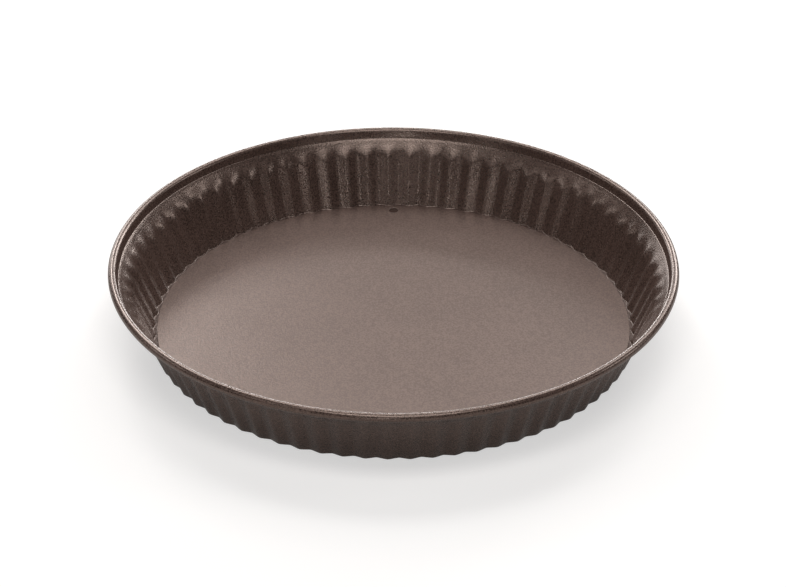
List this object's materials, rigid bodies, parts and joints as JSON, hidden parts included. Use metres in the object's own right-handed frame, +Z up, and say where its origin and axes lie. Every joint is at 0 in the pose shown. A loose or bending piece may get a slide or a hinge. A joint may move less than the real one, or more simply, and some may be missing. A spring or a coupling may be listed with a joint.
{
  "type": "fluted tart pan",
  "caption": "Round fluted tart pan with a rolled rim and a loose flat base that lifts out, dark non-stick coating.",
  "frame": {"origin": "on the table, under the middle of the pan", "axes": "+Z up, out of the pan's mouth; the base's hanging hole lies towards +Y"},
  "size_m": [0.29, 0.29, 0.0389],
  "materials": {
    "ring_coating": "satin brown non-stick coating with a fine speckle",
    "base_coating": "satin brown non-stick coating with a fine speckle"
  },
  "bodies": {
    "ring": {"fluted_ring": "ring_coating"},
    "base": {"lift_out_base": "base_coating"}
  },
  "joints": [
    {"name": "base_lift", "type": "slide", "parent": "ring", "child": "base", "axis": [0, 0, 1], "range_m": [0, 0.05]}
  ]
}
